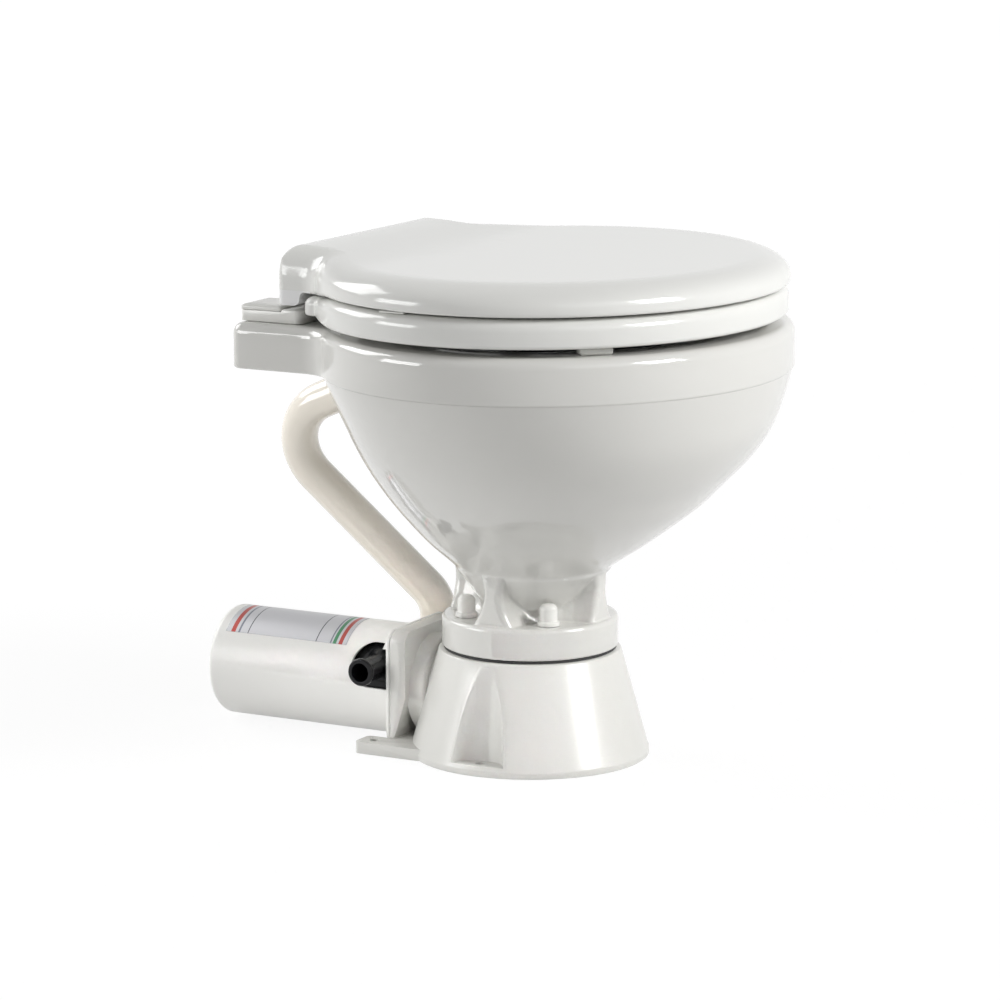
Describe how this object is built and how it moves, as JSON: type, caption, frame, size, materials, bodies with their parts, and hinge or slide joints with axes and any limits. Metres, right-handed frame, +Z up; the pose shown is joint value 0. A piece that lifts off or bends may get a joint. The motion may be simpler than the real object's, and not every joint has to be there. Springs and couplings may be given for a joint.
{
  "type": "electric marine toilet",
  "caption": "Compact electric marine toilet: oval china bowl on a moulded cone base with a horizontal rinse and discharge pump, flush hose, and a hinged seat and lid.",
  "frame": {"origin": "on the floor, on the axis of the base cone", "axes": "+Z up; the bowl's front faces -Y, the pump motor and the seat hinge lie at +Y; +X is the discharge side"},
  "size_m": [0.3558, 0.4136, 0.3522],
  "materials": {
    "china": "high gloss white glaze",
    "base_plastic": "semi-gloss moulded white",
    "seat_plastic": "gloss white",
    "white_plastic": "satin moulded white",
    "cover_plastic": "satin warm white",
    "black_plastic": "gloss black",
    "hose_vinyl": "smooth cream vinyl",
    "rubber": "black",
    "steel": "bright stainless",
    "armature_iron": "laminated core with lacquered winding",
    "magnet": "dark sintered",
    "copper": "bright copper"
  },
  "bodies": {
    "toilet": {"base": "base_plastic", "bowl_gasket": "rubber", "bowl": "china", "bowl_bolt_front_left": "steel", "bowl_bolt_front_right": "steel", "bowl_bolt_rear_left": "steel", "bowl_bolt_rear_right": "steel", "bolt_cap_front_left": "white_plastic", "bolt_cap_front_right": "white_plastic", "bolt_cap_rear_left": "white_plastic", "bolt_cap_rear_right": "white_plastic", "seal_plate": "base_plastic", "motor_cover": "cover_plastic", "rinse_pump_body": "black_plastic", "motor_can": "steel", "end_bell_front": "steel", "end_bell_rear": "steel", "bearing_front": "steel", "bearing_rear": "steel", "magnet_upper": "magnet", "magnet_lower": "magnet", "brush_left": "magnet", "brush_right": "magnet", "chopper_plate": "steel", "seal_housing": "black_plastic", "shaft_seal": "rubber", "outlet_clamp_ring": "white_plastic", "joker_valve": "rubber", "bowl_spud": "white_plastic", "spud_nut": "white_plastic", "flush_hose": "hose_vinyl", "hose_clip_upper": "steel", "hose_clip_lower": "steel", "hinge_block_left": "white_plastic", "hinge_block_right": "white_plastic", "hinge_pin_left": "steel", "hinge_pin_right": "steel", "hinge_bolt_left": "white_plastic", "hinge_bolt_right": "white_plastic", "hinge_nut_left": "white_plastic", "hinge_nut_right": "white_plastic"},
    "seat_ring": {"seat": "seat_plastic", "seat_pad_front_left": "white_plastic", "seat_pad_front_right": "white_plastic", "seat_pad_rear_left": "white_plastic", "seat_pad_rear_right": "white_plastic"},
    "lid_shell": {"lid": "seat_plastic", "lid_pad_left": "white_plastic", "lid_pad_right": "white_plastic"},
    "rotor": {"rotor_shaft": "steel", "armature": "armature_iron", "commutator": "copper", "flexible_impeller": "rubber", "discharge_impeller": "black_plastic", "macerator_blade": "steel"},
    "cap_left": {"hinge_cap_left": "white_plastic"},
    "cap_right": {"hinge_cap_right": "white_plastic"},
    "elbow": {"discharge_elbow": "white_plastic"}
  },
  "joints": [
    {"name": "seat_hinge", "type": "hinge", "parent": "toilet", "child": "seat_ring", "pos_m": [0, 0.156, 0.305], "axis": [-1, 0, 0], "range_deg": [0, 100]},
    {"name": "lid_hinge", "type": "hinge", "parent": "seat_ring", "child": "lid_shell", "pos_m": [0, 0.156, 0.305], "axis": [1, 0, 0], "range_deg": [-105, 0]},
    {"name": "rotor_spin", "type": "hinge", "parent": "toilet", "child": "rotor", "pos_m": [0, 0.15, 0.0405], "axis": [0, 1, 0], "continuous": true},
    {"name": "cap_slide_left", "type": "slide", "parent": "toilet", "child": "cap_left", "axis": [0, 1, 0], "range_m": [0, 0.024]},
    {"name": "cap_slide_right", "type": "slide", "parent": "toilet", "child": "cap_right", "axis": [0, 1, 0], "range_m": [0, 0.024]},
    {"name": "elbow_swivel", "type": "hinge", "parent": "toilet", "child": "elbow", "pos_m": [0.0582, 0.0655, 0.0405], "axis": [1, 0, 0], "range_deg": [0, 120]}
  ]
}
